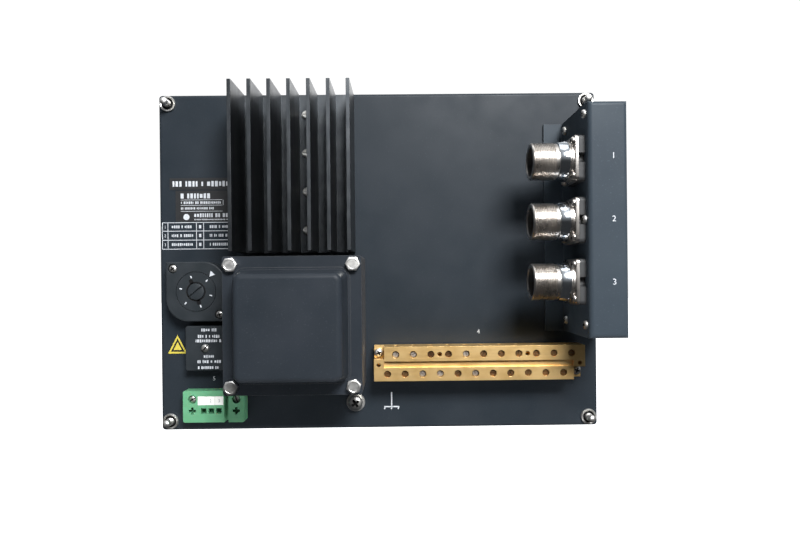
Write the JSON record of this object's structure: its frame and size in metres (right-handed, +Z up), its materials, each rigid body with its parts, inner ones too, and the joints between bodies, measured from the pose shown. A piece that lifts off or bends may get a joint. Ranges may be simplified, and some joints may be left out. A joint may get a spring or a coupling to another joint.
{
  "type": "panel-mounted motion controller",
  "caption": "Panel-mounted motion controller seen from its rear: finned heat sink, capped transformer, voltage selector, mains plug, earth bar and round encoder sockets.",
  "frame": {"origin": "centre of the mounting plane, the rear face of the front plate", "axes": "+X to the right and +Z up when facing the rear cover; the rear cover looks along -Y, the operator side along +Y"},
  "size_m": [0.336, 0.1498, 0.26],
  "materials": {
    "powder_coat": "fine-textured dark blue-grey powder coat",
    "bracket_coat": "smooth blue-grey paint",
    "front_metal": "brushed aluminium plate",
    "zinc_sheet": "zinc-plated sheet steel",
    "foam": "closed-cell foam",
    "window": "clear acrylic",
    "display": "dark display glass and case",
    "foil": "satin polyester foil",
    "zinc_fastener": "zinc-plated steel",
    "circuit_board": "green solder mask",
    "component": "moulded epoxy",
    "capacitor": "shrink sleeve",
    "core": "varnished lamination stack",
    "bobbin": "moulded nylon",
    "copper": "enamelled copper wire",
    "bell_paint": "smooth semi-gloss paint",
    "anodised": "black anodised extrusion",
    "selector_plastic": "moulded thermoplastic",
    "fuse_glass": "glass tube with metal ends",
    "plug_green": "green polyamide",
    "marker_white": "white marking strip",
    "brass": "satin milled brass",
    "nickel": "nickel-plated brass",
    "insert_plastic": "glass-filled insulator",
    "gold": "gold-plated contact",
    "collar_rubber": "flange seal",
    "label_film": "printed polyester film"
  },
  "bodies": {
    "chassis": {"bar_fixings": "zinc_fastener", "bar_spacers": "brass", "board_screws": "zinc_fastener", "board_spacers": "zinc_fastener", "bracket_screws": "zinc_fastener", "connector_bracket": "bracket_coat", "control_board": "circuit_board", "control_chips": "component", "corner_blocks": "zinc_sheet", "cover_ferrules": "zinc_fastener", "cover_studs": "zinc_fastener", "display_module": "display", "display_window": "window", "earth_screw": "zinc_fastener", "earth_washers": "zinc_fastener", "frame_screws": "zinc_fastener", "front_gasket": "foam", "front_plate": "front_metal", "heat_sink": "anodised", "heat_sink_screws": "zinc_fastener", "housing_tub": "zinc_sheet", "keypad_foil": "foil", "labels": "label_film", "mains_header": "plug_green", "mains_pins": "zinc_fastener", "power_transistors": "component", "rear_cover": "powder_coat", "selector_body": "selector_plastic", "selector_screws": "zinc_fastener", "socket_board": "circuit_board", "socket_collars": "collar_rubber", "socket_contacts": "gold", "socket_inserts": "insert_plastic", "socket_screws": "nickel", "socket_shell_1": "nickel", "socket_shell_2": "nickel", "socket_shell_3": "nickel", "spare_fuse_base": "selector_plastic", "spare_fuses": "fuse_glass", "supply_board": "circuit_board", "supply_capacitors": "capacitor", "terminal_bar": "brass", "terminal_screws": "brass", "transformer_bell": "bell_paint", "transformer_bobbin": "bobbin", "transformer_bolts": "zinc_fastener", "transformer_cap": "bell_paint", "transformer_core": "core", "transformer_nuts": "zinc_fastener", "transformer_winding": "copper"},
    "dial": {"selector_dial": "selector_plastic"},
    "fuse_carrier_body": {"fuse_carrier": "selector_plastic", "mains_fuse": "fuse_glass"},
    "fuse_cap_body": {"fuse_cap": "selector_plastic"},
    "spare_lid": {"spare_fuse_cover": "selector_plastic", "spare_fuse_screw": "zinc_fastener"},
    "plug": {"mains_plug": "plug_green", "plug_clamps": "zinc_fastener", "plug_screws": "zinc_fastener", "plug_marker": "marker_white"}
  },
  "joints": [
    {"name": "dial_turn", "type": "hinge", "parent": "chassis", "child": "dial", "pos_m": [-0.1222, -0.09, -0.0198], "axis": [0, -1, 0], "range_deg": [0, 300]},
    {"name": "fuse_pull", "type": "slide", "parent": "chassis", "child": "fuse_carrier_body", "axis": [0, -1, 0], "range_m": [0, 0.035]},
    {"name": "fuse_cap_turn", "type": "hinge", "parent": "fuse_carrier_body", "child": "fuse_cap_body", "pos_m": [-0.1222, -0.09, -0.0198], "axis": [0, -1, 0], "range_deg": [0, 45]},
    {"name": "spare_lid_lift", "type": "slide", "parent": "chassis", "child": "spare_lid", "axis": [0, -1, 0], "range_m": [0, 0.02]},
    {"name": "plug_pull", "type": "slide", "parent": "chassis", "child": "plug", "axis": [0, -1, 0], "range_m": [0, 0.025]}
  ]
}
